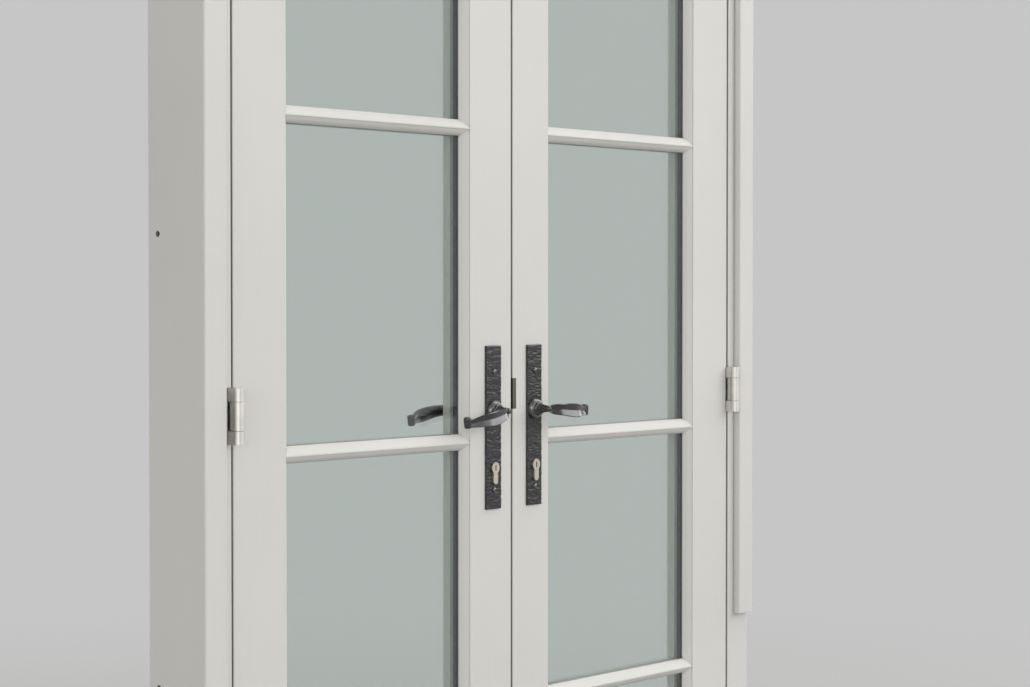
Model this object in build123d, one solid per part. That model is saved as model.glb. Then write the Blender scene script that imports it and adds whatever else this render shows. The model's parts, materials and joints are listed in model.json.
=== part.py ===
from build123d import *
import os

# A pair of outward-opening glazed doors in their own painted timber frame.
# Axes: +X to the right seen from outside, +Y into the room, +Z up.
# Origin: middle of the threshold's underside, in the plane of the doors' outer faces.
# All sizes are in millimetres.

# Leaves
leaf_thickness = 56.0
hinge_stile_face = 98.0
left_meeting_face = 95.0
right_meeting_face = 85.0
glazed_width = 384.0
bottom_rail_face = 173.0
top_rail_face = 98.0
lower_pane_pitch = 397.0
lower_pane_count = 2
upper_pane_pitch = 462.5
upper_pane_count = 2
meeting_edge_bevel = 1.5
arris_radius = 1.6
tenon_thickness = 15.0
tenon_length = 54.0
tenon_shoulder = 22.0

# Mouldings and glazing
moulding_width = 12.0
moulding_depth = 13.0
moulding_bulge = 1.6
moulding_step = 1.5
bar_nose = 3.0
bar_upper_slope = 12.0
bar_under_slope = 9.5
inner_bar_depth = 13.0
inner_moulding_depth = 12.0
rebate_depth = 18.0
pane_edge_clearance = 3.0
pane_thickness = 4.0
cavity_thickness = 12.0
spacer_height = 10.0

# Gaps round the leaves
hinge_gap = 4.0
meeting_gap = 4.0
head_gap = 4.0
leaf_bottom = 34.0
stop_gap = 4.0

# Frame
jamb_width = 58.0
head_height = 58.0
frame_depth = 95.0
stop_overlap = 10.0
threshold_nose = 30.0
threshold_round = 4.0
threshold_outer_height = 20.0
threshold_inner_height = 30.0
threshold_upstand = 46.0
cover_strip_width = 40.0
cover_strip_proud = 12.0
cover_strip_round = 2.5
right_strip_bottom = 680.0
seal_bulb_width = 5.0
seal_bulb_height = 3.6
seal_stem_width = 2.4
seal_stem_depth = 5.0
fixing_hole_radius = 4.0
fixing_heights = (200.0, 700.0, 1300.0, 1900.0)

# Hinges
hinge_height = 75.0
middle_knuckle_height = 38.2
knuckle_radius = 7.5
knuckle_clearance = 0.4
pin_radius = 4.0
running_clearance = 0.05
axis_proud = 14.6
wide_ear_reach = 4.5
wide_ear_setback = 2.5
hinge_plate_thickness = 2.5
hinge_plate_width = 34.0
hinge_plate_setback = 2.5
hinge_housing_clearance = 0.1
upper_hinge_from_top = 188.0
lower_hinge_from_bottom = 250.0
hinge_screw_spread = 26.0
hinge_screw_head_radius = 4.0
hinge_screw_radius = 2.0
hinge_screw_length = 24.0
screw_clearance = 0.1

# Handles
spindle_height = 1047.0
left_handle_setback = 44.0
right_handle_setback = 48.5
plate_width = 35.0
plate_height = 244.0
plate_middle_below_spindle = 25.0
plate_thickness = 4.0
plate_corner_radius = 2.5
plate_bevel = 1.2
plate_notch_radius = 3.0
plate_notch_depth = 0.9
plate_notch_count = 4
collar_radius = 15.5
collar_height = 7.0
collar_round = 2.5
neck_radius = 8.0
flange_radius = 11.0
flange_thickness = 3.2
flange_gap = 0.3
flange_taper = 0.75
flange_rim = 0.5
flange_bulge = 0.93
neck_waist_radius = 5.9
neck_seam_angle = 45.0
neck_end_radius = 5.0
neck_end_proud = 30.0
spindle_width = 8.0
spindle_socket = 10.0
left_lever_droop = 8.5
right_lever_droop = 3.0
curl_radius = 5.6
curl_height = 17.0
curl_round = 3.0
curl_distance = 91.4
curl_proud = 28.8
plate_screw_top_inset = 39.0
plate_screw_below_cylinder = 8.5
plate_screw_head_radius = 4.0
plate_screw_head_height = 2.2
plate_screw_radius = 2.0
plate_screw_length = 16.0

# Lever sections: distance from the spindle, height, depth, how proud the middle is, how far it hangs
lever_sections = (
    (0.0, 7.5, 6.0, 30.0, 0.0),
    (6.0, 14.5, 6.5, 33.0, 0.5),
    (13.0, 17.0, 7.5, 37.5, 0.5),
    (26.0, 19.0, 8.0, 41.5, 0.5),
    (44.0, 21.0, 8.5, 43.0, 1.2),
    (62.0, 19.2, 8.5, 40.5, 1.2),
    (80.0, 14.0, 8.0, 33.5, 1.8),
    (91.4, 11.5, 7.5, 28.8, 0.8),
)
lever_lip = 1.2
lever_flute = 3.0
lever_full_height = 18.0

# Lock furniture
cylinder_below_spindle = 85.0
cylinder_head_radius = 8.5
cylinder_tail_width = 10.0
cylinder_total_height = 33.0
cylinder_proud = 3.0
cylinder_fit = 0.15
cylinder_hole_clearance = 0.5
plug_radius = 6.5
keyway_width = 2.2
keyway_height = 8.0
keyway_depth = 8.0
case_thickness = 16.0
case_depth = 62.0
case_above_spindle = 53.0
case_below_spindle = 123.0
case_clearance = 0.3
faceplate_thickness = 3.0
faceplate_width = 20.0
faceplate_length = 235.0
faceplate_setback = 1.0
follower_hole_radius = 6.0
spindle_bore_radius = 9.5
bolt_thickness = 12.0
bolt_clearance = 0.3
latch_above_spindle = 24.0
latch_height = 20.0
latch_length = 34.0
latch_tip_proud = 2.2
latch_bevel = 7.0
latch_travel = 11.0
dead_bolt_below_spindle = 47.0
dead_bolt_height = 22.0
dead_bolt_length = 45.0
dead_bolt_throw = 20.0
dead_bolt_setback = 0.5
strike_thickness = 1.5
strike_width = 20.0
strike_top_above_spindle = 55.0
strike_length = 122.0
strike_lip_height = 46.0
strike_lip_width = 7.8
strike_hole_clearance = 1.0
gearbox_setback = 27.0
gearbox_depth = 38.0
shoot_bolt_radius = 4.5
shoot_bolt_setback = 14.0
shoot_bolt_throw = 20.0
shoot_bolt_recess = 1.0
shoot_bolt_length = 820.0
keep_clearance = 1.0

# Places worked out from the sizes
left_leaf_width = hinge_stile_face + glazed_width + left_meeting_face
right_leaf_width = hinge_stile_face + glazed_width + right_meeting_face
opening_half = (left_leaf_width + right_leaf_width + meeting_gap) / 2 + hinge_gap
left_leaf_edge = -opening_half + hinge_gap
left_meeting_x = left_leaf_edge + left_leaf_width
right_meeting_x = left_meeting_x + meeting_gap
right_leaf_edge = right_meeting_x + right_leaf_width
glass_bottom = leaf_bottom + bottom_rail_face
lower_bars = [glass_bottom + lower_pane_pitch * (i + 1) for i in range(lower_pane_count)]
upper_bars = [lower_bars[-1] + upper_pane_pitch * (i + 1) for i in range(upper_pane_count - 1)]
bar_heights = lower_bars + upper_bars
glass_top = bar_heights[-1] + upper_pane_pitch
leaf_top = glass_top + top_rail_face
head_underside = leaf_top + head_gap
frame_top = head_underside + head_height
frame_half = opening_half + jamb_width
stop_face = leaf_thickness + stop_gap
stop_half = opening_half - hinge_gap - stop_overlap
stop_underside = leaf_top - stop_overlap
glass_outer = moulding_depth
glass_inner = glass_outer + 2 * pane_thickness + cavity_thickness
rebate_back = rebate_depth - moulding_width
hinge_heights = {
    "lower": leaf_bottom + lower_hinge_from_bottom,
    "middle": (leaf_bottom + lower_hinge_from_bottom + leaf_top - upper_hinge_from_top) / 2,
    "upper": leaf_top - upper_hinge_from_top,
}
lock_middle = leaf_thickness / 2
left_spindle_x = left_meeting_x - left_handle_setback
right_spindle_x = right_meeting_x + right_handle_setback
cylinder_height = spindle_height - cylinder_below_spindle
cylinder_foot = cylinder_height + cylinder_head_radius - cylinder_total_height
plate_top = spindle_height - plate_middle_below_spindle + plate_height / 2
plate_bottom = plate_top - plate_height
plate_screw_heights = (plate_top - plate_screw_top_inset, cylinder_foot - plate_screw_below_cylinder)
latch_z = spindle_height + latch_above_spindle
dead_bolt_z = spindle_height - dead_bolt_below_spindle
strike_top = spindle_height + strike_top_above_spindle
shoot_bolt_x = right_meeting_x + shoot_bolt_setback
faceplate_front = left_meeting_x - faceplate_setback
faceplate_back = faceplate_front - faceplate_thickness
case_back = faceplate_front - case_depth
case_top = spindle_height + case_above_spindle
case_bottom = spindle_height - case_below_spindle
case_middle = (case_top + case_bottom) / 2
latch_tip = faceplate_front + latch_tip_proud
dead_bolt_tip = faceplate_front - dead_bolt_setback
beyond = 5.0


def upright(outline, low, high):
    """Extrudes an outline drawn in X and Y between two heights."""
    return extrude(Plane.XY.offset(low) * make_face(outline), amount=high - low)


def across(outline, left, right):
    """Extrudes an outline drawn in Y and Z between two places along X."""
    return extrude(Plane.YZ.offset(left) * make_face(outline), amount=right - left)


def through(outline, front, back):
    """Extrudes an outline drawn in X and Z between two places along Y."""
    return extrude(Plane.XZ.offset(-front) * make_face(outline), amount=front - back)


def block(x0, x1, y0, y1, z0, z1):
    """A plain block between two corners."""
    return Pos((x0 + x1) / 2, (y0 + y1) / 2, (z0 + z1) / 2) * Box(x1 - x0, y1 - y0, z1 - z0)


def ring(half_x, z0, z1, width, front, back):
    """A rectangular ring of bar stock round the opening, measured to the middle of the bar."""
    w = width / 2
    outer = block(-half_x - w, half_x + w, front, back, z0 - w, z1 + w)
    return outer - block(-half_x + w, half_x - w, front - beyond, back + beyond, z0 + w, z1 - w)


def rod(x, y, z, radius, direction, length):
    """A round rod from a point along one axis."""
    base = Plane(origin=(x, y, z), z_dir=direction)
    return extrude(base * Circle(radius), amount=length)


def bore(x, z, radius):
    """A round hole right through the leaf and its furniture, square to the faces."""
    reach = leaf_thickness + 2 * (plate_thickness + collar_height + beyond)
    return rod(x, lock_middle - reach / 2, z, radius, (0, 1, 0), reach)


def ovolo(near, far):
    """A convex moulding edge from the foot of its step at near to the sight line at far."""
    across_x, across_y = far[0] - near[0], far[1] - near[1]
    span = (across_x**2 + across_y**2) ** 0.5
    side = 1 if across_x > 0 else -1
    inward = 1 if across_y > 0 else -1
    over = side * moulding_bulge * abs(across_y) / span
    up = inward * moulding_bulge * abs(across_x) / span
    bulge = ((near[0] + far[0]) / 2 + over, (near[1] + far[1]) / 2 - up)
    return ThreePointArc(near, bulge, far)


def outer_opening(low, high):
    """Section of the moulded opening on the outer face, between two flat edges."""
    sight_low = (low + moulding_width, moulding_depth)
    sight_high = (high - moulding_width, moulding_depth)
    step_low = (low, moulding_step)
    step_high = (high, moulding_step)
    return (
        Line((low, -beyond), step_low)
        + ovolo(step_low, sight_low)
        + Line(sight_low, sight_high)
        + ovolo(step_high, sight_high)
        + Line(step_high, (high, -beyond))
        + Line((high, -beyond), (low, -beyond))
    )


def inner_opening(low, high):
    """Section of the moulded opening inside the glazing beads, between two flat edges."""
    start = leaf_thickness - inner_moulding_depth
    sight_low = (low + moulding_width, start)
    sight_high = (high - moulding_width, start)
    step_low = (low, leaf_thickness - moulding_step)
    step_high = (high, leaf_thickness - moulding_step)
    glass_low = (low + moulding_width, glass_inner - beyond)
    glass_high = (high - moulding_width, glass_inner - beyond)
    return (
        Line(glass_low, sight_low)
        + ovolo(step_low, sight_low)
        + Line(step_low, (low, leaf_thickness + beyond))
        + Line((low, leaf_thickness + beyond), (high, leaf_thickness + beyond))
        + Line((high, leaf_thickness + beyond), step_high)
        + ovolo(step_high, sight_high)
        + Line(sight_high, glass_high)
        + Line(glass_high, glass_low)
    )


def side_view(outline):
    """Turns a section drawn along X into one drawn along Z, for extruding across."""
    return mirror(Rot(0, 0, 90) * outline, about=Plane.YZ)


def stile_region(edge, flat, sight):
    """Front view of a stile, with its moulded edge mitred into the rails."""
    return Polyline(
        (edge, leaf_bottom - beyond),
        (flat, leaf_bottom - beyond),
        (flat, glass_bottom),
        (sight, glass_bottom + moulding_width),
        (sight, glass_top - moulding_width),
        (flat, glass_top),
        (flat, leaf_top + beyond),
        (edge, leaf_top + beyond),
        close=True,
    )


def rail_region(left, right, edge, flat, sight):
    """Front view of a rail between the stiles, with its moulded edge mitred."""
    return Polyline(
        (left, edge),
        (right, edge),
        (right, flat),
        (right - moulding_width, sight),
        (left + moulding_width, sight),
        (left, flat),
        close=True,
    )


def screw(x, y, z, direction, radius, length, head_radius, head_depth):
    """A countersunk wood screw with its head flush at the point."""
    outline = Polyline(
        (0, 0),
        (head_radius, 0),
        (radius, head_depth),
        (radius, length - 2 * radius),
        (0, length),
        close=True,
    )
    body = revolve(make_face(Plane.XZ * outline), axis=Axis.Z)
    return Plane(origin=(x, y, z), z_dir=direction) * body


def screw_hole(x, y, z, direction, radius, length, head_radius, head_depth):
    """The countersunk hole for a screw, with its clearance, open past the surface."""
    wide = head_radius + screw_clearance
    narrow = radius + screw_clearance
    outline = Polyline(
        (0, -beyond),
        (wide, -beyond),
        (wide, 0),
        (narrow, head_depth),
        (narrow, length + screw_clearance),
        (0, length + screw_clearance),
        close=True,
    )
    body = revolve(make_face(Plane.XZ * outline), axis=Axis.Z)
    return Plane(origin=(x, y, z), z_dir=direction) * body


def euro_outline(x, z, extra):
    """Front view of a profile cylinder, or of its hole when extra is more than nothing."""
    tail = cylinder_tail_width / 2 + extra
    foot = cylinder_total_height - cylinder_head_radius - cylinder_tail_width / 2
    head = Pos(x, z) * Circle(cylinder_head_radius + extra)
    stem = Pos(x, z - foot / 2) * Rectangle(2 * tail, foot)
    return head + stem + Pos(x, z - foot) * Circle(tail)


def euro_prism(x, z, extra, front, back):
    """A profile cylinder's outline carried through from front to back."""
    return extrude(Plane.XZ.offset(-front) * euro_outline(x, z, extra), amount=front - back)


# Hinges


def hinge_part(axis_x, toward, z, knuckles):
    """Half a hinge: its plate, the ears that reach out of the gap, and its knuckles."""
    near = axis_x + toward * hinge_gap
    far = near + toward * hinge_plate_thickness
    low, high = min(near, far), max(near, far)
    half = hinge_height / 2
    back = hinge_plate_setback + hinge_plate_width
    part = block(low, high, hinge_plate_setback, back, z - half, z + half)
    for bottom, top in knuckles:
        part += block(low, high, -axis_proud, hinge_plate_setback, z + bottom, z + top)
        part += rod(axis_x, -axis_proud, z + bottom, knuckle_radius, (0, 0, 1), top - bottom)
    return part


def two_knuckle_part(axis_x, toward, z):
    """The half with the end knuckles, which holds the pin."""
    half = hinge_height / 2
    inner = middle_knuckle_height / 2 + knuckle_clearance
    part = hinge_part(axis_x, toward, z, [(-half, -inner), (inner, half)])
    return part + rod(axis_x, -axis_proud, z - half, pin_radius, (0, 0, 1), hinge_height)


def one_knuckle_part(axis_x, toward, z):
    """The half with the middle knuckle and its wide ear, bored for the pin."""
    inner = middle_knuckle_height / 2
    part = hinge_part(axis_x, toward, z, [(-inner, inner)])
    ends = (axis_x - toward * wide_ear_reach, axis_x + toward * hinge_gap)
    part += block(min(ends), max(ends), -axis_proud, -wide_ear_setback, z - inner, z + inner)
    bore_radius = pin_radius + running_clearance
    return part - rod(axis_x, -axis_proud, z - hinge_height / 2, bore_radius, (0, 0, 1), hinge_height)


def hinge_screws(axis_x, toward, z, make=screw):
    """The three screws of one hinge plate, or their holes."""
    x = axis_x + toward * hinge_gap
    y = hinge_plate_setback + hinge_plate_width / 2
    way = (toward, 0, 0)
    sizes = (hinge_screw_radius, hinge_screw_length, hinge_screw_head_radius, hinge_plate_thickness)
    return [make(x, y, z + lift, way, *sizes) for lift in (-hinge_screw_spread, 0, hinge_screw_spread)]


def hinge_housing(axis_x, toward, z, wood_edge):
    """The recess cut in the timber for one hinge plate."""
    floor = axis_x + toward * (hinge_gap + hinge_plate_thickness)
    open_side = wood_edge - toward * beyond
    half = hinge_height / 2 + hinge_housing_clearance
    back = hinge_plate_setback + hinge_plate_width + hinge_housing_clearance
    return block(min(floor, open_side), max(floor, open_side), -beyond, back, z - half, z + half)


# Frame


def jamb(side):
    """One jamb with its stop, hinge housings, seal groove and fixing holes."""
    inner = side * opening_half
    outer = side * frame_half
    stop = side * stop_half
    outline = Polyline(
        (outer, 0),
        (inner, 0),
        (inner, stop_face),
        (stop, stop_face),
        (stop, frame_depth),
        (outer, frame_depth),
        close=True,
    )
    body = upright(outline, 0, frame_top)
    for z in hinge_heights.values():
        body -= hinge_housing(inner, side, z, inner)
        for hole in hinge_screws(inner, side, z, screw_hole):
            body -= hole
    middle_of_stop = (stop_face + frame_depth) / 2
    for z in fixing_heights:
        body -= rod(outer + side, middle_of_stop, z, fixing_hole_radius, (-side, 0, 0), frame_half)
    return body - seal_stem()


def seal_stem():
    """The part of the seal that sits in its groove."""
    middle_x = stop_half + stop_overlap / 2
    low = (leaf_bottom + threshold_upstand) / 2
    high = leaf_top - stop_overlap / 2
    return ring(middle_x, low, high, seal_stem_width, stop_face, stop_face + seal_stem_depth)


def frame_seal():
    """The compression seal on the stops, all the way round."""
    middle_x = stop_half + stop_overlap / 2
    low = (leaf_bottom + threshold_upstand) / 2
    high = leaf_top - stop_overlap / 2
    bulb = ring(middle_x, low, high, seal_bulb_width, stop_face - seal_bulb_height, stop_face)
    return bulb + seal_stem()


def keep_hole(way):
    """The hole that a shoot bolt enters, up into the head or down into the threshold."""
    start = leaf_top if way > 0 else leaf_bottom
    deep = shoot_bolt_throw + keep_clearance
    radius = shoot_bolt_radius + keep_clearance
    return rod(shoot_bolt_x, lock_middle, start, radius, (0, 0, way), deep)


def head():
    """The head of the frame between the jambs, with its stop and the upper keep hole."""
    body = block(-opening_half, opening_half, 0, stop_face, head_underside, frame_top)
    body += block(-stop_half, stop_half, stop_face, frame_depth, stop_underside, frame_top)
    return body - seal_stem() - keep_hole(1)


def threshold():
    """The weathered sill of the frame, with its upstand and the lower keep hole."""
    slope = Polyline(
        (-threshold_nose, 0),
        (stop_face, 0),
        (stop_face, threshold_inner_height),
        (-threshold_nose, threshold_outer_height),
        close=True,
    )
    body = across(slope, -opening_half, opening_half)
    nose_edges = body.edges().filter_by(Axis.X).sort_by(Axis.Y)[:2]
    body = fillet(nose_edges.sort_by(Axis.Z)[-1], threshold_round)
    body += block(-stop_half, stop_half, stop_face, frame_depth, 0, threshold_upstand)
    return body - seal_stem() - keep_hole(-1)


def cover_strip(side, low):
    """The raised strip that covers the joint beside the frame."""
    outer = side * frame_half
    inner = side * (frame_half - cover_strip_width)
    body = block(min(outer, inner), max(outer, inner), -cover_strip_proud, 0, low, frame_top)
    front_edges = body.edges().filter_by(Axis.Z).sort_by(Axis.Y)[:2]
    return fillet(front_edges, cover_strip_round)


# Leaf joinery


def leaf_timber(hinge_x, meeting_x, side):
    """The four timbers of one leaf as one moulded and rebated frame, before it is cut apart."""
    bevel_x = meeting_x + side * meeting_edge_bevel
    outline = Polyline(
        (hinge_x, 0),
        (meeting_x, 0),
        (bevel_x, leaf_thickness),
        (hinge_x, leaf_thickness),
        close=True,
    )
    body = upright(outline, leaf_bottom, leaf_top)
    body = fillet(body.edges().filter_by(Plane.XZ).filter_by(Axis.Z).sort_by(Axis.Y)[:2], arris_radius)
    return body


def glazing_limits(side):
    """Where the flat face stops on the left and right of one leaf's glass."""
    if side < 0:
        return left_leaf_edge + hinge_stile_face, left_meeting_x - left_meeting_face
    return right_meeting_x + right_meeting_face, right_leaf_edge - hinge_stile_face


def outer_pocket(left, right):
    """The moulded opening on the outer face."""
    side = side_view(outer_opening(glass_bottom, glass_top))
    front = upright(outer_opening(left, right), glass_bottom - beyond, glass_top + beyond)
    return front & across(side, left - beyond, right + beyond)


def inner_pocket(left, right):
    """The moulded opening inside the beads."""
    side = side_view(inner_opening(glass_bottom, glass_top))
    front = upright(inner_opening(left, right), glass_bottom - beyond, glass_top + beyond)
    return front & across(side, left - beyond, right + beyond)


def rebate(left, right, back):
    """The rebate that takes the sealed unit and the beads."""
    low = glass_bottom - rebate_back
    high = glass_top + rebate_back
    return block(left - rebate_back, right + rebate_back, glass_outer, back, low, high)


def tenons(left, right, rail_low, rail_high, sign):
    """The tenons at both ends of a rail, as solids that also cut the mortises."""
    low = rail_low + tenon_shoulder if sign < 0 else rail_low + rebate_back + tenon_shoulder
    high = rail_high - rebate_back - tenon_shoulder if sign < 0 else rail_high - tenon_shoulder
    front = lock_middle - tenon_thickness / 2
    back = lock_middle + tenon_thickness / 2
    return [
        block(left - tenon_length, left, front, back, low, high),
        block(right, right + tenon_length, front, back, low, high),
    ]


def leaf_pieces(side):
    """The stiles and rails of one leaf, cut from the moulded frame and jointed."""
    left, right = glazing_limits(side)
    hinge_x = left_leaf_edge if side < 0 else right_leaf_edge
    meeting_x = left_meeting_x if side < 0 else right_meeting_x
    timber = leaf_timber(hinge_x, meeting_x, side)
    timber = timber - outer_pocket(left, right) - rebate(left, right, leaf_thickness + beyond)
    left_edge = min(hinge_x, meeting_x) - beyond
    right_edge = max(hinge_x, meeting_x) + beyond

    def cut(region):
        return timber & through(region, -beyond, leaf_thickness + beyond)

    left_stile = cut(stile_region(left_edge, left, left + moulding_width))
    right_stile = cut(stile_region(right_edge, right, right - moulding_width))
    low_sight = glass_bottom + moulding_width
    high_sight = glass_top - moulding_width
    bottom_rail = cut(rail_region(left, right, leaf_bottom - beyond, glass_bottom, low_sight))
    top_rail = cut(rail_region(left, right, leaf_top + beyond, glass_top, high_sight))
    lower_tenons = tenons(left, right, leaf_bottom, glass_bottom, -1)
    upper_tenons = tenons(left, right, glass_top, leaf_top, 1)
    for left_tenon, right_tenon in (lower_tenons, upper_tenons):
        left_stile -= left_tenon
        right_stile -= right_tenon
    for tenon in lower_tenons:
        bottom_rail += tenon
    for tenon in upper_tenons:
        top_rail += tenon
    stiles = (left_stile, right_stile) if side < 0 else (right_stile, left_stile)
    return {
        "hinge_stile": stiles[0],
        "meeting_stile": stiles[1],
        "bottom_rail": bottom_rail,
        "top_rail": top_rail,
    }


def bar_section(z, glass, nose):
    """Section of a glazing bar from the glass to its stepped nose, in Y and Z."""
    upper = z + bar_nose / 2
    under = z - bar_nose / 2
    top = (glass, upper + bar_upper_slope)
    bottom = (glass, under - bar_under_slope)
    out = -1 if nose < glass else 1
    step = nose - out * moulding_step

    def slope(near, far):
        depth, width = abs(far[0] - near[0]), abs(far[1] - near[1])
        span = (depth**2 + width**2) ** 0.5
        rise = 1 if far[1] > near[1] else -1
        middle = ((near[0] + far[0]) / 2, (near[1] + far[1]) / 2)
        over = out * moulding_bulge * width / span
        up = rise * moulding_bulge * depth / span
        bulge = (middle[0] + over, middle[1] + up)
        return ThreePointArc(near, bulge, far)

    return (
        slope((step, upper), top)
        + Line(top, bottom)
        + slope((step, under), bottom)
        + Line((step, under), (nose, under))
        + Line((nose, under), (nose, upper))
        + Line((nose, upper), (step, upper))
    )


def coped_bars(opening, left, right, glass, nose):
    """The bars of one side of the glass, cut to the moulding at both ends."""
    pocket = upright(opening, glass_bottom, glass_top)
    ends = (left - beyond, right + beyond)
    return [across(bar_section(z, glass, nose), *ends) & pocket for z in bar_heights]


def outer_bars(side):
    """The three bars on the outer glass, coped into the stiles' moulding."""
    left, right = glazing_limits(side)
    return coped_bars(outer_opening(left, right), left, right, glass_outer, 0)


def inner_bars(side):
    """The matching bars on the room side of the glass."""
    left, right = glazing_limits(side)
    nose = glass_inner + inner_bar_depth
    return coped_bars(inner_opening(left, right), left, right, glass_inner, nose)


def beads(side):
    """The four glazing beads, mitred at their corners."""
    left, right = glazing_limits(side)
    ring_block = block(
        left - rebate_back,
        right + rebate_back,
        glass_inner,
        leaf_thickness,
        glass_bottom - rebate_back,
        glass_top + rebate_back,
    )
    ring_block -= inner_pocket(left, right)
    outer_corners = [
        (left - rebate_back, glass_bottom - rebate_back),
        (right + rebate_back, glass_bottom - rebate_back),
        (right + rebate_back, glass_top + rebate_back),
        (left - rebate_back, glass_top + rebate_back),
    ]
    inner_corners = [
        (left + moulding_width, glass_bottom + moulding_width),
        (right - moulding_width, glass_bottom + moulding_width),
        (right - moulding_width, glass_top - moulding_width),
        (left + moulding_width, glass_top - moulding_width),
    ]
    pieces = []
    for i in range(4):
        j = (i + 1) % 4
        corners = (outer_corners[i], outer_corners[j], inner_corners[j], inner_corners[i])
        region = Polyline(*corners, close=True)
        pieces.append(ring_block & through(region, glass_inner - beyond, leaf_thickness + beyond))
    return pieces


def pane_block(side, front, back, inset):
    """A sheet the size of the sealed unit, drawn in by inset all round."""
    left, right = glazing_limits(side)
    edge = rebate_back - pane_edge_clearance - inset
    return block(left - edge, right + edge, front, back, glass_bottom - edge, glass_top + edge)


def panes(side):
    """The two panes of the sealed unit."""
    outer = pane_block(side, glass_outer, glass_outer + pane_thickness, 0)
    inner = pane_block(side, glass_inner - pane_thickness, glass_inner, 0)
    return [outer, inner]


def spacer(side):
    """The dark spacer bar between the panes."""
    front = glass_outer + pane_thickness
    back = glass_inner - pane_thickness
    hollow = pane_block(side, front - beyond, back + beyond, spacer_height)
    return pane_block(side, front, back, 0) - hollow


# Handles


def backplate(x, inside):
    """One long backplate with its collar, cylinder hole, screw holes and worked edge."""
    middle_z = (plate_top + plate_bottom) / 2
    face = Pos(x, middle_z) * RectangleRounded(plate_width, plate_height, plate_corner_radius)
    plate = extrude(Plane.XZ * face, amount=plate_thickness)
    plate = chamfer(plate.faces().sort_by(Axis.Y)[0].edges(), plate_bevel)
    pitch = plate_width / plate_notch_count
    for i in range(plate_notch_count):
        notch_x = x + (i - (plate_notch_count - 1) / 2) * pitch
        for edge_z, way in ((plate_top, 1), (plate_bottom, -1)):
            notch_z = edge_z + way * (plate_notch_radius - plate_notch_depth)
            plate -= bore(notch_x, notch_z, plate_notch_radius)
    collar = rod(x, -plate_thickness, spindle_height, collar_radius, (0, -1, 0), collar_height)
    collar = fillet(collar.edges().sort_by(Axis.Y)[0], collar_round)
    plate += collar
    plate -= bore(x, spindle_height, neck_radius + running_clearance)
    plate -= euro_prism(x, cylinder_height, cylinder_hole_clearance, -plate_thickness - beyond, beyond)
    for z in plate_screw_heights:
        plate -= bore(x, z, plate_screw_radius + screw_clearance)
    return to_inside(plate, x) if inside else plate


def to_inside(shape, x):
    """Turns outer furniture half round about the upright line through the leaf at x."""
    return Pos(x, lock_middle, 0) * Rot(0, 0, 180) * Pos(-x, -lock_middle, 0) * shape


def plate_screws(x):
    """The four domed screws that hold the two backplates of one leaf."""
    head = plate_screw_head_radius
    rise = plate_thickness + plate_screw_head_height
    tip = plate_screw_length - plate_thickness
    ball = (head**2 + plate_screw_head_height**2) / (2 * plate_screw_head_height)
    crown = RadiusArc((head, -plate_thickness), (0, -rise), ball)
    outline = (
        Line((0, tip), (plate_screw_radius, tip))
        + Line((plate_screw_radius, tip), (plate_screw_radius, -plate_thickness))
        + Line((plate_screw_radius, -plate_thickness), (head, -plate_thickness))
        + crown
        + Line((0, -rise), (0, tip))
    )
    body = revolve(make_face(outline), axis=Axis.Y)
    pieces = []
    for z in plate_screw_heights:
        outer = Pos(x, 0, z) * body
        pieces += [outer, to_inside(outer, x)]
    return pieces


def neck(shoulder):
    """The lever's turned neck, with a flange that stands just clear of the plate's collar."""
    flange_end = shoulder + flange_thickness
    throat = flange_radius * flange_taper
    ball = neck_end_radius * 0.5**0.5
    flange_edge = ThreePointArc(
        (flange_radius, -shoulder - flange_rim),
        (flange_radius * flange_bulge, -shoulder - flange_thickness * 0.75),
        (throat, -flange_end),
    )
    waist = ThreePointArc(
        (throat, -flange_end),
        (neck_waist_radius, -(flange_end + neck_end_proud) / 2),
        (neck_end_radius, -neck_end_proud),
    )
    crown = ThreePointArc(
        (neck_end_radius, -neck_end_proud),
        (ball, -neck_end_proud - ball),
        (0, -neck_end_proud - neck_end_radius),
    )
    outline = (
        Line((0, 0), (neck_radius, 0))
        + Line((neck_radius, 0), (neck_radius, -shoulder))
        + Line((neck_radius, -shoulder), (flange_radius, -shoulder))
        + Line((flange_radius, -shoulder), (flange_radius, -shoulder - flange_rim))
        + flange_edge
        + waist
        + crown
        + Line((0, -neck_end_proud - neck_end_radius), (0, 0))
    )
    return Rot(0, neck_seam_angle, 0) * revolve(make_face(outline), axis=Axis.Y)


def blade_section(way, distance, height, depth, proud, hang):
    """One section of the blade: a rounded back and a fluted front between two lips."""
    plane = Plane(origin=(way * distance, -proud, -hang), x_dir=(0, -1, 0), z_dir=(way, 0, 0))
    front = depth / 2
    half = height / 2
    flute = lever_flute * min(1, height / lever_full_height)
    outline = Polyline(
        (front - lever_lip, half),
        (front, half - lever_lip),
        (front - flute, 0),
        (front, lever_lip - half),
        (front - lever_lip, -half),
    )
    back = ThreePointArc((front - lever_lip, -half), (-front, 0), (front - lever_lip, half))
    return plane * make_face(outline + back)


def lever(x, toward, droop, inside):
    """One lever: turned neck, bowed and fluted blade, and the rolled end that turns back."""
    way = -toward if inside else toward
    blade = loft([blade_section(way, *numbers) for numbers in lever_sections])
    curl = Cylinder(curl_radius, curl_height)
    curl = fillet(curl.edges().filter_by(GeomType.CIRCLE), curl_round)
    body = neck(plate_thickness + collar_height + flange_gap) + blade
    body += Pos(way * curl_distance, -curl_proud, 0) * curl
    width = spindle_width / 2
    if inside:
        body += block(-width, width, 0, leaf_thickness + spindle_socket, -width, width)
    else:
        w = width + running_clearance
        body -= block(-w, w, -spindle_socket - running_clearance, beyond, -w, w)
    body = Pos(x, 0, spindle_height) * Rot(0, way * droop, 0) * body
    return to_inside(body, x) if inside else body


# Locks


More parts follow.
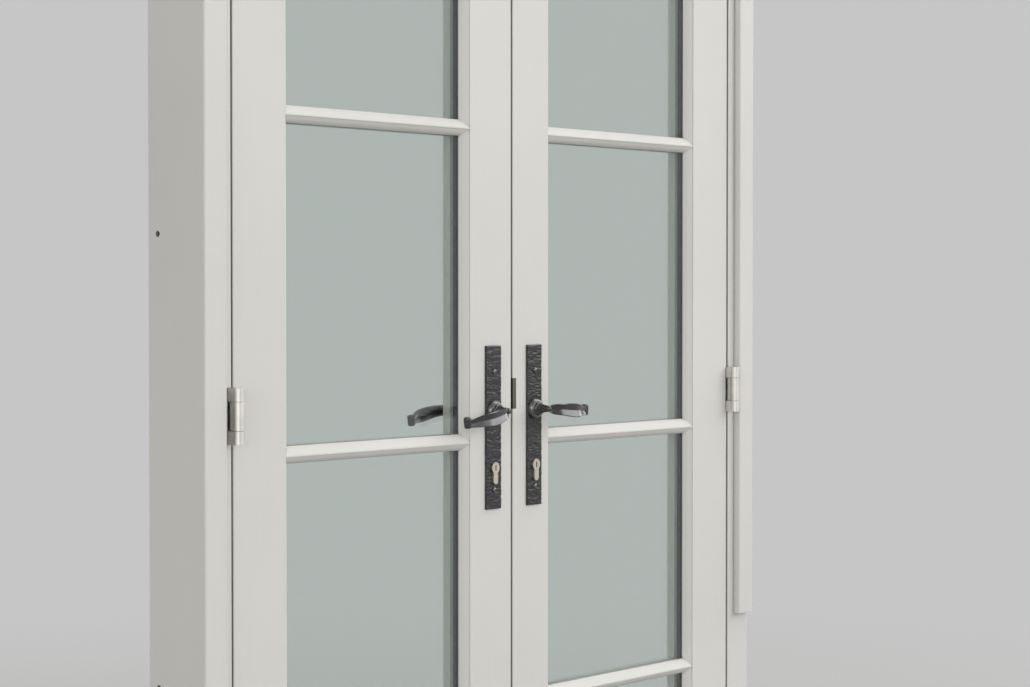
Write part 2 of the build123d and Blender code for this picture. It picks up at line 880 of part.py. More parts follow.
def cylinder_way(x, clear):
    """The keyhole-shaped way through the leaf for the profile cylinder."""
    return euro_prism(x, cylinder_height, clear, -beyond, leaf_thickness + beyond)


def cylinder_body(x):
    """The profile cylinder's body, bored for its plug."""
    front = -plate_thickness - cylinder_proud
    back = leaf_thickness + plate_thickness + cylinder_proud
    body = euro_prism(x, cylinder_height, 0, front, back)
    return body - bore(x, cylinder_height, plug_radius + running_clearance)


def cylinder_plug(x):
    """The plug that the key turns, with a keyway in both faces."""
    front = -plate_thickness - cylinder_proud
    back = leaf_thickness + plate_thickness + cylinder_proud
    body = rod(x, front, cylinder_height, plug_radius, (0, 1, 0), back - front)
    half = keyway_width / 2
    low, high = cylinder_height - keyway_height / 2, cylinder_height + keyway_height / 2
    body -= block(x - half, x + half, front - beyond, front + keyway_depth, low, high)
    return body - block(x - half, x + half, back - keyway_depth, back + beyond, low, high)


def bolt_block(left, right, z, height, extra=0.0):
    """The space of a sliding bolt, or of its hole when extra is more than nothing."""
    half_y = bolt_thickness / 2 + extra
    half_z = height / 2 + extra
    return block(left, right, lock_middle - half_y, lock_middle + half_y, z - half_z, z + half_z)


def lock_space(left, right, extra):
    """The block that a lock case fills in its stile, or the mortise round it."""
    front = lock_middle - case_thickness / 2 - extra
    back = lock_middle + case_thickness / 2 + extra
    return block(left - extra, right + extra, front, back, case_bottom - extra, case_top + extra)


def faceplate_space(extra):
    """The faceplate, or the recess that it is let into."""
    half_y = faceplate_width / 2 + extra
    half_z = faceplate_length / 2 + extra
    front = faceplate_front if extra == 0 else faceplate_front + beyond
    plate = Box(front - faceplate_back, 2 * half_y, 2 * half_z)
    return Pos((faceplate_back + front) / 2, lock_middle, case_middle) * plate


def left_lock_case():
    """The mortise lock of the first-opening leaf, with its faceplate and the ways for both bolts."""
    body = lock_space(case_back, faceplate_back, 0) + faceplate_space(0)
    open_end = faceplate_front + beyond
    latch_back = latch_tip - latch_length - latch_travel - bolt_clearance
    dead_bolt_back = dead_bolt_tip - dead_bolt_length - bolt_clearance
    body -= bolt_block(latch_back, open_end, latch_z, latch_height, bolt_clearance)
    body -= bolt_block(dead_bolt_back, open_end, dead_bolt_z, dead_bolt_height, bolt_clearance)
    body -= bore(left_spindle_x, spindle_height, follower_hole_radius)
    return body - cylinder_way(left_spindle_x, cylinder_fit)


def latch_bolt():
    """The latch bolt, bevelled on the side that meets its strike as the leaf closes."""
    body = bolt_block(latch_tip - latch_length, latch_tip, latch_z, latch_height)
    back = lock_middle + bolt_thickness / 2
    corners = ((latch_tip, back - latch_bevel), (latch_tip, back), (latch_tip - latch_bevel, back))
    bevel = Polyline(*corners, close=True)
    return body - upright(bevel, latch_z - latch_height, latch_z + latch_height)


def dead_bolt():
    """The square bolt that the key throws."""
    return bolt_block(dead_bolt_tip - dead_bolt_length, dead_bolt_tip, dead_bolt_z, dead_bolt_height)


def right_gearbox():
    """The gearbox of the second leaf, set back from the edge behind the strike pockets."""
    left = right_meeting_x + gearbox_setback
    body = lock_space(left, left + gearbox_depth, 0)
    body -= bore(right_spindle_x, spindle_height, follower_hole_radius)
    return body - cylinder_way(right_spindle_x, cylinder_fit)


def strike_space(extra):
    """The strike's edge plate and the lip that folds onto the outer face."""
    half_y = strike_width / 2 + extra
    lip_low = latch_z - strike_lip_height / 2 - extra
    lip_high = latch_z + strike_lip_height / 2 + extra
    low = strike_top - strike_length - extra
    inner = right_meeting_x + strike_thickness
    outer = right_meeting_x if extra == 0 else right_meeting_x - beyond
    front = 0 if extra == 0 else -beyond
    edge = block(outer, inner, lock_middle - half_y, lock_middle + half_y, low, strike_top + extra)
    neck = block(outer, inner, front, lock_middle, lip_low, lip_high)
    lip_end = right_meeting_x + strike_lip_width + extra
    lip = block(outer, lip_end, front, strike_thickness, lip_low, lip_high)
    return edge + neck + lip


def bolt_pockets(deep):
    """The holes for the first leaf's latch and dead bolt."""
    clear = bolt_clearance + strike_hole_clearance
    latch = bolt_block(left_meeting_x, latch_tip + deep, latch_z, latch_height, clear)
    dead = bolt_block(left_meeting_x, dead_bolt_tip + deep, dead_bolt_z, dead_bolt_height, clear)
    return latch + dead


def strike():
    """The strike plate of the second leaf."""
    return strike_space(0) - bolt_pockets(dead_bolt_throw)


def shoot_bolt_start(way):
    """Where a withdrawn shoot bolt's tip stands, just inside the leaf's end."""
    return leaf_top - shoot_bolt_recess if way > 0 else leaf_bottom + shoot_bolt_recess


def shoot_bolt(way):
    """A round shoot bolt, running along the meeting stile to the leaf's top or bottom."""
    start = shoot_bolt_start(way)
    return rod(shoot_bolt_x, lock_middle, start, shoot_bolt_radius, (0, 0, -way), shoot_bolt_length)


def shoot_bolt_bore(way):
    """The bore that a shoot bolt slides in."""
    start = shoot_bolt_start(way) + way * beyond
    radius = shoot_bolt_radius + bolt_clearance
    return rod(shoot_bolt_x, lock_middle, start, radius, (0, 0, -way), shoot_bolt_length + 2 * beyond)


def furniture_holes(x):
    """What is bored through a meeting stile for its spindle, cylinder and screws."""
    screw_depth = plate_screw_length - plate_thickness + screw_clearance
    hole_radius = plate_screw_radius + screw_clearance
    tools = [
        bore(x, spindle_height, spindle_bore_radius),
        cylinder_way(x, cylinder_hole_clearance),
    ]
    for z in plate_screw_heights:
        hole = rod(x, 0, z, hole_radius, (0, 1, 0), screw_depth)
        tools += [hole, to_inside(hole, x)]
    return tools


# Assembly

nodes = {
    "threshold": threshold(),
    "left_jamb": jamb(-1),
    "right_jamb": jamb(1),
    "head": head(),
    "left_cover_strip": cover_strip(-1, 0),
    "right_cover_strip": cover_strip(1, right_strip_bottom),
    "frame_seal": frame_seal(),
}

frame_screws = []
for name, side in (("left", -1), ("right", 1)):
    axis_x = side * opening_half
    pieces = leaf_pieces(side)
    spindle_x = left_spindle_x if side < 0 else right_spindle_x
    leaf_edge = left_leaf_edge if side < 0 else right_leaf_edge
    leaf_screws = []
    for place, z in hinge_heights.items():
        frame_maker = two_knuckle_part if side < 0 else one_knuckle_part
        leaf_maker = one_knuckle_part if side < 0 else two_knuckle_part
        frame_half_hinge = frame_maker(axis_x, side, z)
        leaf_half_hinge = leaf_maker(axis_x, -side, z)
        for hole in hinge_screws(axis_x, side, z, screw_hole):
            frame_half_hinge -= hole
        for hole in hinge_screws(axis_x, -side, z, screw_hole):
            leaf_half_hinge -= hole
            pieces["hinge_stile"] -= hole
        pieces["hinge_stile"] -= hinge_housing(axis_x, -side, z, leaf_edge)
        nodes[f"{name}_{place}_hinge_frame_half"] = frame_half_hinge
        nodes[f"{name}_{place}_hinge_leaf_half"] = leaf_half_hinge
        frame_screws += hinge_screws(axis_x, side, z)
        leaf_screws += hinge_screws(axis_x, -side, z)
    for tool in furniture_holes(spindle_x):
        pieces["meeting_stile"] -= tool
    if side < 0:
        pieces["meeting_stile"] -= lock_space(case_back, faceplate_back, case_clearance)
        pieces["meeting_stile"] -= faceplate_space(case_clearance)
        nodes["left_lock_case"] = left_lock_case()
        nodes["left_latch_bolt"] = latch_bolt()
        nodes["left_dead_bolt"] = dead_bolt()
    else:
        left = right_meeting_x + gearbox_setback
        pieces["meeting_stile"] -= lock_space(left, left + gearbox_depth, case_clearance)
        pieces["meeting_stile"] -= strike_space(screw_clearance)
        pieces["meeting_stile"] -= bolt_pockets(dead_bolt_throw + beyond)
        for way in (1, -1):
            pieces["meeting_stile"] -= shoot_bolt_bore(way)
        nodes["right_gearbox"] = right_gearbox()
        nodes["right_strike"] = strike()
        nodes["right_upper_shoot_bolt"] = shoot_bolt(1)
        nodes["right_lower_shoot_bolt"] = shoot_bolt(-1)
    droop = left_lever_droop if side < 0 else right_lever_droop
    for piece_name, piece in pieces.items():
        nodes[f"{name}_{piece_name}"] = piece
    nodes[f"{name}_outer_bars"] = outer_bars(side)
    nodes[f"{name}_inner_beads"] = beads(side) + inner_bars(side)
    nodes[f"{name}_panes"] = panes(side)
    nodes[f"{name}_spacer"] = spacer(side)
    nodes[f"{name}_outer_plate"] = backplate(spindle_x, False)
    nodes[f"{name}_inner_plate"] = backplate(spindle_x, True)
    nodes[f"{name}_plate_screws"] = plate_screws(spindle_x)
    nodes[f"{name}_hinge_screws"] = leaf_screws
    nodes[f"{name}_outer_lever"] = lever(spindle_x, side, droop, False)
    nodes[f"{name}_inner_lever"] = lever(spindle_x, side, droop, True)
    nodes[f"{name}_cylinder_body"] = cylinder_body(spindle_x)
    nodes[f"{name}_cylinder_plug"] = cylinder_plug(spindle_x)
nodes["frame_hinge_screws"] = frame_screws


def solids_of(shape):
    """The separate solids of a node, whether it is one shape or a list of pieces."""
    pieces = shape if isinstance(shape, list) else [shape]
    return [solid for piece in pieces for solid in piece.solids()]


os.makedirs("parts", exist_ok=True)
for name, shape in nodes.items():
    solids = solids_of(shape)
    whole = solids[0] if len(solids) == 1 else Compound(children=solids)
    export_step(whole, f"parts/{name}.step")
print(len(nodes), "sub-parts")
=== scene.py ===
import json
import math
import random
import bmesh
import bpy
from mathutils import Matrix, Vector, noise

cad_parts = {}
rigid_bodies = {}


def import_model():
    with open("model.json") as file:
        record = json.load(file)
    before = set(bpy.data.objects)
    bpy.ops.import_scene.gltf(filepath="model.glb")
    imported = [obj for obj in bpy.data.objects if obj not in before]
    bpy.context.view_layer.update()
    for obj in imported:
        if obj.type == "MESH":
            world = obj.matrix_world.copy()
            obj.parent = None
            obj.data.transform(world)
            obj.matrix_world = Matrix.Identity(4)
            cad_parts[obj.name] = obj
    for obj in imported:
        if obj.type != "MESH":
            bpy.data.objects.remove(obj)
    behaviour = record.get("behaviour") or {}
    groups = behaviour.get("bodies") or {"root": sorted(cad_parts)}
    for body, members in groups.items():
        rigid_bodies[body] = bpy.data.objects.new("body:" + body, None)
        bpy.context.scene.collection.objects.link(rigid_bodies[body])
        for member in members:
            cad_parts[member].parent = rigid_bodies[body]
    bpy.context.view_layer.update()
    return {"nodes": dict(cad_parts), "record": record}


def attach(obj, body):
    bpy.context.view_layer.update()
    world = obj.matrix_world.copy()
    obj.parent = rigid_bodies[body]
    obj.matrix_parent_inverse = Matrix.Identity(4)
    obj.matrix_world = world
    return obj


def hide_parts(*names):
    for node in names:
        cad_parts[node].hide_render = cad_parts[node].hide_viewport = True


for leftover in list(bpy.data.objects):
    bpy.data.objects.remove(leftover, do_unlink=True)
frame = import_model()
nodes = frame["nodes"]
scene = bpy.context.scene

# Lengths are in metres, angles in degrees unless a name says otherwise, and colours in linear light.
# X runs right, Y into the room and Z up, as in the frame.

# The door furniture, at the sizes and places that it has in the source
leaf_thickness = 0.056
lock_middle = leaf_thickness / 2
spindles = {"left": -0.041, "right": 0.0555}
spindle_height = 1.047
plate_width = 0.035
plate_low = 0.900
plate_high = 1.144
plate_thickness = 0.004
collar_radius = 0.0155
neck_hole_radius = 0.00806
cylinder_height = 0.962
cylinder_head_radius = 0.0085
cylinder_tail_half = 0.005
cylinder_bottom = 0.9375
cylinder_clearance = 0.0005
screw_heights = (1.105, 0.929)
screw_hole_radius = 0.0021
screw_head_radius = 0.004
screw_head_height = 0.0022

# The soft arrises of the solids
weld_distance = 0.000002
flat_angle = 0.5
metal_arris = 0.0005
metal_arris_angle = 50.0
timber_arris = 0.0007
timber_arris_angle = 40.0

# The worked face and ragged border of a backplate
plate_step = 0.0007
plate_sink = 0.00035
bevel_width = 0.0016
bevel_waver = 0.35
bevel_drop = 0.0019
swell_depth = 0.00022
side_pull = 0.0003
end_pull = 0.0004
notch_count = 4
notch_depth = 0.0009
notch_half_width = 0.34
mark_count = 260
mark_widths = (0.003, 0.0085)
mark_flatness = (0.22, 0.34)
mark_depths = (0.0002, 0.0006)
mark_tilt_radians = 0.07
mark_roundness = 0.7
on_border = 1e-6
plate_sharp_angle = 38.0
first_seed = 11

# How finely round shapes are drawn
hole_steps = 40
cylinder_head_steps = 32
cylinder_tail_steps = 12
collar_steps = 64
screw_rings = 14
screw_steps = 48

# The screw heads and their cross recess
dome_power = 0.9
recess_depth = 0.0008
recess_half_width = 0.00035
recess_reach = 0.0019
screw_head_foot = 0.0025
screw_sharp_angle = 50.0

# From a little in front of a plate to a little behind it, along Y
cut_front = -0.02
cut_back = 0.01


# Materials

background = (0.56, 0.565, 0.56)
paint_colour = (0.655, 0.645, 0.615)
paint_warmth = (1.035, 1.015, 0.975)
# How far the painted shade reaches into the hollows of the paint, and how many rays measure it
paint_crevice_shade_reach = 0.009
crevice_shade_samples = 8
grain_upright = (3.0, 3.0, 0.06)
grain_across = (0.06, 3.0, 3.0)
brushed_upright = (1.0, 1.0, 0.05)
iron_stops = ((0.35, (0.006, 0.006, 0.007)), (0.62, (0.013, 0.013, 0.013)), (0.78, (0.03, 0.028, 0.027)))


def times(colour, factor):
    """A colour made darker or lighter."""
    return tuple(factor * part for part in colour)


class Shader:
    """A material with a few short ways to add and join its nodes."""

    def __init__(self, name):
        self.material = bpy.data.materials.new(name)
        self.material.use_nodes = True
        self.tree = self.material.node_tree
        self.main = self.tree.nodes["Principled BSDF"]
        self.output = self.tree.nodes["Material Output"]
        self.place = self.add("ShaderNodeTexCoord").outputs["Object"]

    def add(self, kind, **values):
        """A new node, with some of its settings."""
        node = self.tree.nodes.new(kind)
        for key, value in values.items():
            setattr(node, key, value)
        return node

    def join(self, source, target):
        """Links an output to an input."""
        self.tree.links.new(source, target)

    def stretched(self, grain):
        """The object's own coordinates, scaled along each axis."""
        node = self.add("ShaderNodeMapping")
        node.inputs["Scale"].default_value = grain
        self.join(self.place, node.inputs["Vector"])
        return node.outputs["Vector"]

    def noise(self, vector, scale, detail, rough):
        """Noise over the surface."""
        node = self.add("ShaderNodeTexNoise")
        node.inputs["Scale"].default_value = scale
        node.inputs["Detail"].default_value = detail
        node.inputs["Roughness"].default_value = rough
        self.join(vector, node.inputs["Vector"])
        return node.outputs["Fac"]

    def ramp(self, value, stops):
        """Colours along a value, from stops that each give a place and a colour or a grey."""
        node = self.add("ShaderNodeValToRGB")
        ramp = node.color_ramp
        while len(ramp.elements) < len(stops):
            ramp.elements.new(0.5)
        for element, (place, colour) in zip(ramp.elements, stops):
            element.position = place
            element.color = (*colour, 1.0) if isinstance(colour, tuple) else (colour, colour, colour, 1.0)
        self.join(value, node.inputs["Fac"])
        return node.outputs["Color"]

    def mix(self, factor, first, second):
        """The first colour, which turns to the plain second one as the factor rises."""
        node = self.add("ShaderNodeMix", data_type="RGBA")
        self.join(factor, node.inputs["Factor"])
        self.join(first, node.inputs["A"])
        node.inputs["B"].default_value = (*second, 1.0)
        return node.outputs["Result"]

    def total(self, first, second, operation="ADD"):
        """The sum of two values, or what another operation makes of them."""
        node = self.add("ShaderNodeMath", operation=operation)
        self.join(first, node.inputs[0])
        if isinstance(second, float):
            node.inputs[1].default_value = second
        else:
            self.join(second, node.inputs[1])
        return node.outputs["Value"]

    def with_painted_crevice_shade(self, finish, reach, stops, dark, alone=False):
        """Painted shade: the finish, mixed with a dark colour where surfaces, or only its own, close in
        within a reach, as ambient occlusion would shade them.
        """
        occlusion_shade = self.add("ShaderNodeAmbientOcclusion", samples=crevice_shade_samples, only_local=alone)
        occlusion_shade.inputs["Distance"].default_value = reach
        return self.mix(self.ramp(occlusion_shade.outputs["AO"], stops), finish, dark)

    def colour(self, value):
        """Sets the surface's colour."""
        self.join(value, self.main.inputs["Base Color"])

    def roughness(self, value, low, high):
        """Sets a roughness that follows a value from 0 to 1."""
        node = self.add("ShaderNodeMapRange")
        node.inputs["To Min"].default_value = low
        node.inputs["To Max"].default_value = high
        self.join(value, node.inputs["Value"])
        self.join(node.outputs["Result"], self.main.inputs["Roughness"])

    def bump(self, height, distance):
        """Sets a slight relief."""
        node = self.add("ShaderNodeBump")
        node.inputs["Distance"].default_value = distance
        node.inputs["Strength"].default_value = 1.0
        self.join(height, node.inputs["Height"])
        self.join(node.outputs["Normal"], self.main.inputs["Normal"])

    def set(self, **values):
        """Sets plain values on the shader's own sockets."""
        for key, value in values.items():
            self.main.inputs[key.replace("_", " ")].default_value = value


def painted(name, grain, alone=False):
    """Satin paint on timber. The grain is stretched along the member, and crevices get painted shade."""
    s = Shader(name)
    soft = s.noise(s.place, scale=2.3, detail=4.0, rough=0.55)
    fine = s.noise(s.stretched(grain), scale=70.0, detail=4.0, rough=0.6)
    specks = s.noise(s.place, scale=900.0, detail=1.0, rough=0.5)
    dark = times(paint_colour, 0.955)
    light = times(paint_colour, 1.03)
    warm = tuple(more * part for more, part in zip(paint_warmth, paint_colour))
    blotched = s.ramp(soft, ((0.3, dark), (0.55, paint_colour), (0.75, light)))
    tinted = s.mix(s.ramp(fine, ((0.45, 0.0), (0.7, 0.45))), blotched, warm)
    speckled = s.mix(s.ramp(specks, ((0.71, 0.0), (0.76, 0.35))), tinted, times(paint_colour, 0.72))
    # Painted shade: the paint turns dark where surfaces close in, at gaps, quirks and joints.
    crevice_shade_stops = ((0.25, 1.0), (0.72, 0.0))
    s.colour(s.with_painted_crevice_shade(speckled, paint_crevice_shade_reach, crevice_shade_stops, times(paint_colour, 0.25), alone))
    s.roughness(fine, 0.52, 0.66)
    ripple = s.total(s.total(fine, 0.75, "MULTIPLY"), s.total(soft, 1.5, "MULTIPLY"))
    s.bump(ripple, 0.00016)
    s.set(IOR=1.5)
    return s.material


def worked_iron(name, low, high, depth, ior):
    """Glossy black coating over hand-worked iron, with its roughness limits and its relief."""
    s = Shader(name)
    broad = s.noise(s.place, scale=160.0, detail=4.0, rough=0.6)
    fine = s.noise(s.place, scale=1500.0, detail=2.0, rough=0.6)
    s.colour(s.ramp(broad, iron_stops))
    s.roughness(broad, low, high)
    s.bump(s.total(broad, s.total(fine, 0.25, "MULTIPLY")), depth)
    s.set(IOR=ior, Coat_Weight=0.2, Coat_Roughness=low)
    return s.material


def brushed_metal(name, shade, grain, low, high, crevice_shade_reach=0.0):
    """Satin metal with fine brush lines, a slight dulling and, where a reach is given, painted shade in
    crevices.
    """
    s = Shader(name)
    lines = s.noise(s.stretched(grain), scale=900.0, detail=2.0, rough=0.5)
    cloud = s.noise(s.place, scale=60.0, detail=4.0, rough=0.6)
    clouded = s.ramp(cloud, ((0.3, times(shade, 0.8)), (0.65, shade)))
    finish = s.mix(s.ramp(lines, ((0.35, 0.0), (0.65, 1.0))), clouded, shade)
    # Painted shade: the metal turns dark where its parts close in, as at the joints between hinge knuckles.
    if crevice_shade_reach:
        finish = s.with_painted_crevice_shade(finish, crevice_shade_reach, ((0.4, 1.0), (0.9, 0.0)), times(shade, 0.1))
    s.colour(finish)
    s.roughness(s.total(s.total(lines, 0.5, "MULTIPLY"), s.total(cloud, 0.5, "MULTIPLY")), low, high)
    s.bump(lines, 0.00003)
    s.set(Metallic=1.0)
    return s.material


def matt_black(name, shade, rough):
    """Matt rubber or plastic with a faint mottle."""
    s = Shader(name)
    cloud = s.noise(s.place, scale=300.0, detail=3.0, rough=0.6)
    s.colour(s.ramp(cloud, ((0.35, shade), (0.7, times(shade, 1.5)))))
    s.roughness(cloud, rough - 0.1, rough + 0.1)
    s.bump(cloud, 0.00005)
    return s.material


def clear_glass(name):
    """Float glass, faintly green, that lets light through to what stands behind it."""
    s = Shader(name)
    s.set(Base_Color=(0.86, 0.9, 0.885, 1.0), Roughness=0.0, IOR=1.5, Transmission_Weight=1.0)
    wave = s.noise(s.stretched((1.0, 1.0, 0.55)), scale=3.2, detail=2.0, rough=0.4)
    s.bump(wave, 0.0006)
    path = s.add("ShaderNodeLightPath")
    passing = s.total(path.outputs["Is Shadow Ray"], path.outputs["Is Diffuse Ray"], "MAXIMUM")
    clear = s.add("ShaderNodeBsdfTransparent")
    clear.inputs["Color"].default_value = (0.93, 0.95, 0.94, 1.0)
    either = s.add("ShaderNodeMixShader")
    s.join(passing, either.inputs["Fac"])
    s.join(s.main.outputs["BSDF"], either.inputs[1])
    s.join(clear.outputs["BSDF"], either.inputs[2])
    s.join(either.outputs["Shader"], s.output.inputs["Surface"])
    return s.material


paint_upright = painted("paint_upright", grain_upright)
paint_across = painted("paint_across", grain_across)
paint_beads = painted("paint_beads", grain_upright, alone=True)
plate_iron = worked_iron("black_iron", low=0.3, high=0.5, depth=0.0004, ior=1.5)
lever_iron = worked_iron("lever_iron", low=0.16, high=0.3, depth=0.00012, ior=1.72)
collar_iron = worked_iron("collar_iron", low=0.22, high=0.36, depth=0.00012, ior=2.2)

finishes = {
    "glass": clear_glass("glass"),
    "spacer": matt_black("spacer_black", (0.03, 0.03, 0.032), 0.55),
    "seal": matt_black("seal_black", (0.02, 0.02, 0.021), 0.7),
    # The hinge metal gets painted shade where its knuckles and ears close in.
    "hinge_nickel": brushed_metal("hinge_nickel", (0.7, 0.675, 0.635), brushed_upright, 0.44, 0.56, 0.0022),
    "black_iron": plate_iron,
    "cylinder_nickel": brushed_metal("cylinder_nickel", (0.72, 0.655, 0.555), (1.0, 0.06, 1.0), 0.26, 0.44),
    "lock_steel": brushed_metal("lock_steel", (0.5, 0.5, 0.48), brushed_upright, 0.3, 0.5),
    # The strike's very dark brown colour holds painted shade: the dull metal is darkened to look as it does
    # in shade.
    "strike_metal": brushed_metal("strike_metal", (0.15, 0.14, 0.115), (1.0, 1.0, 0.1), 0.4, 0.6),
}
members_across = ("head", "threshold", "bottom_rail", "top_rail", "outer_bars")


def finish_of(part):
    """The material of one of the CAD's solids."""
    name = part["node"]
    if name.endswith("inner_beads"):
        return paint_beads
    if part["material_slot"] == "paint":
        return paint_across if name.endswith(members_across) else paint_upright
    if name.endswith("lever"):
        return lever_iron
    return finishes[part["material_slot"]]


for part in frame["record"]["subparts"]:
    node = nodes[part["node"]]
    finish = finish_of(part)
    if not node.material_slots:
        node.data.materials.append(finish)
    for place in node.material_slots:
        place.material = finish


# Soft arrises


def softened(node, width, degrees):
    """Takes the hard edge off the arrises of a solid, whose flat faces are first made whole."""
    weld = node.modifiers.new("weld", "WELD")
    weld.merge_threshold = weld_distance
    whole = node.modifiers.new("whole", "DECIMATE")
    whole.decimate_type = "DISSOLVE"
    whole.angle_limit = math.radians(flat_angle)
    arris = node.modifiers.new("arris", "BEVEL")
    arris.width = width
    arris.segments = 2
    arris.limit_method = "ANGLE"
    arris.angle_limit = math.radians(degrees)
    arris.use_clamp_overlap = True
    even = node.modifiers.new("even", "WEIGHTED_NORMAL")
    even.weight = 90
    even.keep_sharp = False


for name, node in nodes.items():
    if "_hinge_" in name and not name.endswith(("screws", "stile")):
        softened(node, metal_arris, metal_arris_angle)
    elif name.endswith(("hinge_stile", "meeting_stile", "rail", "bars", "jamb", "head", "threshold")):
        softened(node, timber_arris, timber_arris_angle)


# Mesh helpers


def give(piece, material):
    """Puts one material on a whole piece."""
    piece.data.materials.clear()
    piece.data.materials.append(material)


def settled(piece):
    """Applies a piece's modifiers."""
    bpy.context.view_layer.update()
    graph = bpy.context.evaluated_depsgraph_get()
    mesh = bpy.data.meshes.new_from_object(piece.evaluated_get(graph))
    piece.modifiers.clear()
    old = piece.data
    piece.data = mesh
    bpy.data.meshes.remove(old)


def made(name, mesh_data, smooth=True):
    """A new object from a bmesh."""
    mesh = bpy.data.meshes.new(name)
    mesh_data.to_mesh(mesh)
    mesh_data.free()
    mesh.polygons.foreach_set("use_smooth", [smooth] * len(mesh.polygons))
    piece = bpy.data.objects.new(name, mesh)
    scene.collection.objects.link(piece)
    return piece


def cutter(outline):
    """A closed prism through a plate, from an outline of X and Z."""
    work = bmesh.new()
    near = [work.verts.new((x, cut_front, z)) for x, z in outline]
    far = [work.verts.new((x, cut_back, z)) for x, z in outline]
    work.faces.new(near)
    work.faces.new(reversed(far))
    count = len(outline)
    for i in range(count):
        j = (i + 1) % count
        work.faces.new((near[j], near[i], far[i], far[j]))
    bmesh.ops.recalc_face_normals(work, faces=work.faces)
    return made("cut", work, smooth=False)


def circle_outline(x, z, radius):
    """Points round a circle in X and Z."""
    turns = [2 * math.pi * i / hole_steps for i in range(hole_steps)]
    return [(x + radius * math.cos(turn), z + radius * math.sin(turn)) for turn in turns]


def cylinder_outline(x):
    """The hole for the profile cylinder: a round head above a narrow rounded tail."""
    head = cylinder_head_radius + cylinder_clearance
    tail = cylinder_tail_half + cylinder_clearance
    start = math.asin(tail / head)
    points = []
    for i in range(cylinder_head_steps + 1):
        turn = -math.pi / 2 + start + (2 * math.pi - 2 * start) * i / cylinder_head_steps
        points.append((x + head * math.cos(turn), cylinder_height + head * math.sin(turn)))
    foot = cylinder_bottom - cylinder_clearance + tail
    for i in range(cylinder_tail_steps + 1):
        turn = math.pi + math.pi * i / cylinder_tail_steps
        points.append((x + tail * math.cos(turn), foot + tail * math.sin(turn)))
    return points


def turned(name, profile, x, z):
    """A closed ring turned about an axis along Y, from a profile of radius and height off the door."""
    work = bmesh.new()
    loops = []
    for i in range(collar_steps):
        turn = 2 * math.pi * i / collar_steps
        across, up = math.cos(turn), math.sin(turn)
        loops.append([work.verts.new((x + r * across, -h, z + r * up)) for r, h in profile])
    size = len(profile)
    for i in range(collar_steps):
        j = (i + 1) % collar_steps
        for k in range(size):
            m = (k + 1) % size
            work.faces.new((loops[i][k], loops[j][k], loops[j][m], loops[i][m]))
    bmesh.ops.recalc_face_normals(work, faces=work.faces)
    return made(name, work)


def turn_inside(piece, x):
    """Turns outer furniture half round about the upright line through the leaf at x."""
    middle = Vector((x, lock_middle, 0.0))
    turn = Matrix.Translation(middle) @ Matrix.Rotation(math.pi, 4, "Z") @ Matrix.Translation(-middle)
    piece.data.transform(turn)


def smooth_by_angle(piece, degrees):
    """Marks the edges that are sharper than an angle, so that the rest shades smoothly."""
    work = bmesh.new()
    work.from_mesh(piece.data)
    limit = math.radians(degrees)
    for edge in work.edges:
        edge.smooth = len(edge.link_faces) == 2 and edge.calc_face_angle(0.0) < limit
    for face in work.faces:
        face.smooth = True
    work.to_mesh(piece.data)
    work.free()


# Backplates, worked by hand


def marks(seed):
    """Hammer marks on a plate, each a place, a size, a depth and a tilt."""
    rng = random.Random(seed)
    found = []
    for _ in range(mark_count):
        x = rng.uniform(-plate_width / 2, plate_width / 2)
        z = rng.uniform(plate_low, plate_high)
        wide = rng.uniform(*mark_widths)
        tall = wide * rng.uniform(*mark_flatness)
        deep = rng.uniform(*mark_depths)
        found.append((x, z, wide, tall, deep, rng.gauss(0, mark_tilt_radians)))
    return found


def mark_depth(found, x, z):
    """How deep the marks are at one place on a plate."""
    deep = 0.0
    for mark_x, mark_z, wide, tall, depth, tilt in found:
        dz = z - mark_z
        if abs(dz) > wide:
            continue
        dx = x - mark_x
        u = (dx * math.cos(tilt) + dz * math.sin(tilt)) / wide
        v = (dz * math.cos(tilt) - dx * math.sin(tilt)) / tall
        away = u * u + v * v
        if away < 1.0:
            deep = max(deep, depth * (1.0 - away) ** mark_roundness)
    return deep


def to_border(x, z):
    """How far a place on a plate is from the nearer side and from the nearer end."""
    return plate_width / 2 - abs(x), min(z - plate_low, plate_high - z)


def face_height(found, seed, x, z):
    """How far a plate's worked face stands off the door at one place, with its bevelled edge."""
    wave = noise.noise(Vector((x * 160 + seed, z * 160, 0.5)))
    edge = bevel_width * (1.0 + bevel_waver * wave)
    slope = max(0.0, 1.0 - min(to_border(x, z)) / edge)
    drop = bevel_drop * slope * slope
    swell = swell_depth * noise.noise(Vector((x * 60, z * 45, 2.0 + seed)))
    deep = mark_depth(found, x, z) + plate_sink + max(0.0, swell)
    return plate_thickness - deep - drop


def ragged_border(seed, x, z):
    """How far the border is drawn in at one place: along X at the sides and along Z at the ends."""
    to_side, to_end = to_border(x, z)
    pull = 0.0
    if to_side < on_border:
        pull = side_pull * (1 + noise.noise(Vector((z * 210, 7.0, seed)))) * (-1 if x > 0 else 1)
    lift = 0.0
    if to_end < on_border:
        tooth = (x / plate_width * notch_count) % 1.0 - 0.5
        lift = notch_depth * max(0.0, 1.0 - (tooth / notch_half_width) ** 2)
        lift += end_pull * (1 + noise.noise(Vector((x * 420, 3.0, seed))))
        lift *= -1 if z > (plate_low + plate_high) / 2 else 1
    return pull, lift


